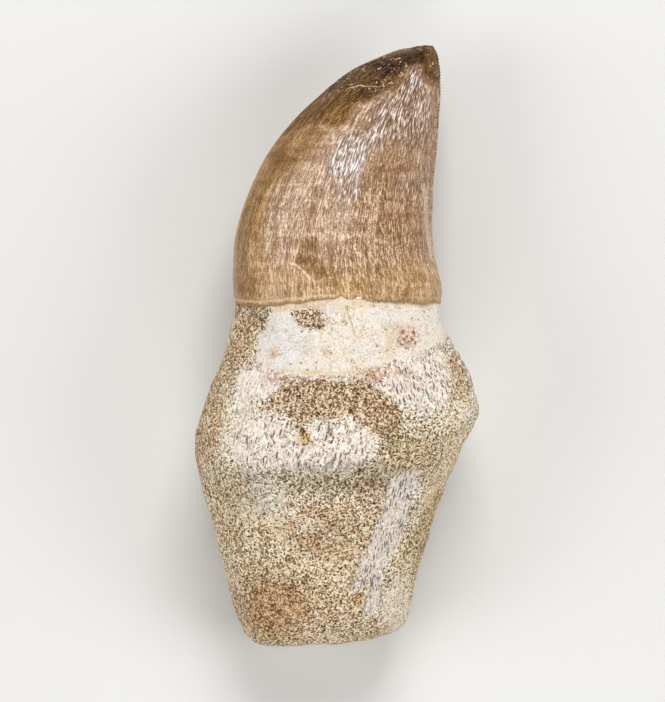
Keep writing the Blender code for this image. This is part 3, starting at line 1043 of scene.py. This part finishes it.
# %% Root finish
def bone_finish():
    finish = Finish("fossil_bone")
    grains, grit = grain_pattern(finish)
    pore, streaks = bone_pores(finish)
    fine = finish.noise(0.3, detail=1)
    clumps = finish.noise(1.9, detail=3, roughness=0.6)
    bone = bare_bone(finish, fine, grit, pore, streaks)
    grain = sand_colour(finish, grains, grit, clumps, streaks)

    presence = finish.random(grains, "Red")
    cover = finish.kept("sand") + clumps * 0.9 - 0.45 - presence * 0.85
    cover = finish.rise(cover, -0.08, 0.08)
    colour = finish.mix(cover, bone, grain)
    crack = finish.near([(1.3, 6.4), (1.8, 4.9), (2.4, 3.1), (2.7, 1.4)], 0.02)
    colour = finish.mix(crack * 0.7, colour, (0.25, 0.18, 0.12))
    roughness = 0.82 - finish.kept("polish") * 0.25 + cover * 0.1
    dome = (1 - grains) * 0.12 + grit * 0.1
    height = cover * dome - (1 - cover) * pore * 0.12 + finish.noise(0.5, detail=3) * 0.05
    finish.shader.inputs["Specular IOR Level"].default_value = 0.22
    return finish.done(colour, roughness, height)


# %% [markdown]
# ## Enamel
#
# Old enamel is translucent brown with silky streaks along the crown. The streaks are noise,
# stretched along the strands: a coarse set for the broad silky bands and a fine set for the
# single threads. Wear near the tip ends in a ragged line, so the worn area's edge is broken up.


# %% Colours of the enamel, from its dark threads to its light ones
TAN = [
    (0.05, (0.15, 0.072, 0.03)),
    (0.4, (0.275, 0.155, 0.077)),
    (0.62, (0.385, 0.237, 0.132)),
    (0.97, (0.77, 0.63, 0.47)),
]
# Pale rosy enamel, partly a painted reflection.
ROSY_AND_REFLECTED = [(0.05, (0.26, 0.145, 0.08)), (0.5, (0.49, 0.325, 0.22)), (0.95, (0.84, 0.69, 0.57))]
GOLD = [(0.05, (0.17, 0.075, 0.012)), (0.5, (0.38, 0.195, 0.05)), (0.95, (0.66, 0.43, 0.18))]
HONEY = [(0.05, (0.27, 0.14, 0.05)), (0.5, (0.415, 0.246, 0.103)), (0.95, (0.67, 0.48, 0.275))]
BROWN = [(0.05, (0.06, 0.025, 0.006)), (0.5, (0.175, 0.08, 0.018)), (0.95, (0.38, 0.22, 0.085))]
BLACK = [(0.1, (0.006, 0.002, 0.001)), (0.5, (0.026, 0.009, 0.003)), (0.9, (0.13, 0.06, 0.025))]
# Grey enamel, rising to the near white of a painted highlight.
GREY_TO_HIGHLIGHT = [
    (0.1, (0.13, 0.075, 0.05)),
    (0.4, (0.31, 0.21, 0.15)),
    (0.6, (0.53, 0.44, 0.39)),
    (0.85, (0.88, 0.86, 0.88)),
]


def enamel_colour(finish, shade, threads, flecks, drift):
    """Tan enamel; pale parts partly a painted reflection; golden, striped, banded, flaked; grey with painted
    highlight.
    """
    rise_of, mix, steeper = finish.rise, finish.mix, finish.steeper
    silver, strand = finish.kept("silver"), finish.kept("strand", "Vector")
    colour = mix(rise_of(drift, 0.4, 0.65) * 0.2, finish.ramp(shade, TAN), (0.40, 0.25, 0.17))
    colour = mix(finish.kept("deep") * 0.8, colour, (0.83, 0.77, 0.69), "MULTIPLY")
    # Pale rosy parts, partly a painted reflection.
    colour = mix(finish.kept("pale") * 0.9, colour, finish.ramp(shade, ROSY_AND_REFLECTED))
    colour = mix(finish.kept("golden") * 0.9, colour, finish.ramp(shade, GOLD))
    colour = mix(finish.kept("warm") * 0.8, colour, finish.ramp(shade, HONEY))
    stripes = rise_of(finish.noise(1, finish.stretch(strand, (30, 30, 0.06)), detail=1), 0.5, 0.6)
    colour = mix(finish.kept("striped") * stripes * 0.35, colour, (0.78, 0.60, 0.38))
    colour = mix(finish.kept("band") * 0.6, colour, finish.ramp(shade, BROWN))
    front_edge = rise_of(finish.part_of(strand, "X"), -0.97, -0.995)
    colour = mix(front_edge * 0.5, colour, (0.58, 0.38, 0.18))
    # Grey parts lightened towards white: a painted highlight over greyish enamel.
    highlight_tone = steeper(threads * 0.76 + flecks * 0.24, 4.1) + silver * 0.3 - 0.24
    highlighted = silver + steeper(drift, 0.6) * 0.35 + steeper(threads, 1.6) * 0.3
    colour = mix(rise_of(highlighted, 0.45, 1.05), colour, finish.ramp(highlight_tone, GREY_TO_HIGHLIGHT))
    flaked = rise_of(finish.kept("flake") + steeper(threads, 1.5) * 0.4, 0.45, 0.95)
    return mix(flaked * 0.85, colour, (0.62, 0.53, 0.36), "MULTIPLY")


# %% Thin marks on the enamel
def with_thin_marks(finish, colour, grit):
    """Adds the flake's light lip, the lines along the crown, and the light rim above the groove."""
    near, rise_of, mix = finish.near, finish.rise, finish.mix
    above_end = finish.kept("above_end")
    flake_lip = near(FLAKE_STEP[:4], 0.05) * 0.5 + near(FLAKE_STEP[3:], 0.12) * 0.8
    colour = mix(flake_lip * rise_of(grit, 0.25, 0.5), colour, (0.76, 0.58, 0.40))
    hind_line = near([(12.6, 23.4), (12.9, 21.4), (13.2, 19.4), (13.0, 17.0)], 0.04)
    colour = mix(hind_line * 0.6, colour, (0.20, 0.11, 0.05))
    front_stripes = near([(-11.4, 13.9), (-10.4, 17.4)], 0.14) + near([(-9.3, 16.6), (-8.2, 20.1)], 0.14)
    colour = mix(front_stripes * rise_of(grit, 0.3, 0.55) * 0.5, colour, (0.80, 0.64, 0.48))
    hind_stripe = near([(13.9, 25.5), (14.1, 21.5), (14.4, 18.5), (14.9, 14.5)], 0.3)
    colour = mix(hind_stripe * 0.35, colour, (0.76, 0.59, 0.43))
    front_side = rise_of(finish.part_of(finish.kept("strand", "Vector"), "X"), 0.1, -0.05)
    rim = rise_of(above_end, 0.95, 0.7) * rise_of(above_end, 0.3, 0.5) * (front_side * 0.4 + 0.1)
    colour = mix(rim, colour, (0.72, 0.54, 0.36))
    return mix(rise_of(above_end, 0.3, 0.1) * (front_side * 0.5 + 0.3), colour, (0.28, 0.18, 0.08))


# %% Crown finish
def enamel_finish():
    finish = Finish("fossil_enamel")
    noise_at, rise_of, mix = finish.noise, finish.rise, finish.mix
    strand = finish.kept("strand", "Vector")
    level = finish.part_of(strand, "Z")
    up_high = rise_of(level, 24, 38)

    def stretched(low_cells, high_cells, per_mm, detail):
        """Noise along the strands, with fewer cells across where the crown is narrow."""
        low = noise_at(1, finish.stretch(strand, (low_cells, low_cells, per_mm)), detail=detail)
        high = noise_at(1, finish.stretch(strand, (high_cells, high_cells, per_mm)), detail=detail)
        return low + (high - low) * up_high

    silk = stretched(15, 9, 0.16, 3)
    threads = stretched(82, 40, 0.8, 2)
    flecks = stretched(80, 44, 1.9, 1)
    bands = noise_at(1, finish.stretch(strand, (1.2, 1.2, 0.9)), detail=3)
    drift = noise_at(5, detail=3)
    grit = noise_at(0.3, detail=2)

    shade = silk * 0.16 + threads * 0.36 + flecks * 0.16 + grit * 0.2 + bands * 0.12
    shade = finish.steeper(shade, 6) + finish.steeper(noise_at(3.2, detail=2), 0.9) * 0.35 - 0.17
    colour = enamel_colour(finish, shade, threads, flecks, drift)
    colour = with_thin_marks(finish, colour, grit)

    ragged = finish.steeper(noise_at(1.6, detail=3), 0.9) + finish.steeper(threads, 1.4)
    worn_here = rise_of(finish.kept("worn") + ragged, 1.2, 1.8)
    colour = mix(worn_here, colour, finish.ramp(shade, BROWN))
    colour = mix(worn_here * finish.kept("burnt"), colour, finish.ramp(shade, BLACK))
    # Painted glints: sparse light flecks on the worn tip stand in for sparkles of reflected light.
    painted_glints = rise_of(noise_at(0.6, detail=2), 0.6, 0.66) * rise_of(noise_at(3.0), 0.45, 0.55)
    painted_glints = painted_glints * rise_of(level, 38, 42) * 0.8
    colour = mix(worn_here * painted_glints, colour, (0.74, 0.57, 0.41))
    crack = finish.near([(1.7, 41.0), (3.4, 41.4), (6.4, 41.2)], 0.02)
    colour = mix(crack * 0.8, colour, (0.80, 0.66, 0.48))

    roughness = 0.26 + drift * 0.12 + worn_here * 0.2 + finish.kept("flake") * 0.1
    thread_height = finish.kept("silver") * 0.02 + 0.012
    height = silk * 0.04 + (threads + flecks) * thread_height + worn_here * noise_at(0.6) * 0.08
    finish.shader.inputs["Specular IOR Level"].default_value = 0.14
    return finish.done(colour, roughness, height)


# %% Give each piece its finish and its place in the model
for piece, material in ((root, bone_finish()), (crown, enamel_finish())):
    piece.data.materials.clear()
    piece.data.materials.append(material)
    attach(piece, "root")
    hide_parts("tooth")

# %% [markdown]
# ## Floor, light and camera
#
# A specimen photograph is taken straight down under large soft lights. The softbox beyond the tip
# gives the crown its gloss, and the streak of gloss is also painted into the enamel as a highlight.
# The camera is far away with a long lens, so the outline is the one that the solid has from above.


# %% Floor
def plain_material(name, colour, roughness):
    material = bpy.data.materials.new(name)
    material.use_nodes = True
    shader = material.node_tree.nodes["Principled BSDF"]
    shader.inputs["Base Color"].default_value = (*colour, 1)
    shader.inputs["Roughness"].default_value = roughness
    return material


bpy.ops.object.select_all(action="DESELECT")
bpy.ops.mesh.primitive_plane_add(size=6, location=(0, 0, 0))
floor = bpy.context.active_object
floor.name = "floor"
floor.data.materials.append(plain_material("pale_floor", (0.69, 0.68, 0.66), 0.9))


# %% Lights
def softbox(name, place, size, power):
    """A square area light that points at the tooth."""
    light = bpy.data.lights.new(name, "AREA")
    light.size = size
    light.energy = power
    lamp = bpy.data.objects.new(name, light)
    bpy.context.scene.collection.objects.link(lamp)
    lamp.location = place
    lamp.rotation_euler = (-Vector(place)).to_track_quat("-Z", "Y").to_euler()


softbox("beyond_tip", (0.1, 0.66, 0.76), 0.5, 7.5)
softbox("from_right", (0.8, -0.15, 0.55), 0.6, 4.3)
softbox("from_left", (-0.8, -0.15, 0.55), 0.6, 4.4)
softbox("behind_root", (0, -0.8, 0.6), 0.6, 3.6)

world = bpy.data.worlds.new("studio")
world.use_nodes = True
world.node_tree.nodes["Background"].inputs["Color"].default_value = (1, 1, 1, 1)
world.node_tree.nodes["Background"].inputs["Strength"].default_value = 0.12
bpy.context.scene.world = world
bpy.context.scene.view_settings.view_transform = "Standard"

# %% Camera
PICTURE_HEIGHT = 112.3 * MM
PICTURE_MIDDLE = (-0.72 * MM, -0.88 * MM)
TOOTH_MIDDLE_HEIGHT = 15 * MM
CAMERA_DISTANCE = 0.75

camera_data = bpy.data.cameras.new("camera")
camera_data.sensor_width = 36
camera_data.lens = camera_data.sensor_width * CAMERA_DISTANCE / PICTURE_HEIGHT
camera = bpy.data.objects.new("camera", camera_data)
bpy.context.scene.collection.objects.link(camera)
camera.location = (*PICTURE_MIDDLE, TOOTH_MIDDLE_HEIGHT + CAMERA_DISTANCE)
bpy.context.scene.camera = camera
print("lens:", round(camera_data.lens), "mm")

# %% Update the scene
bpy.context.view_layer.update()
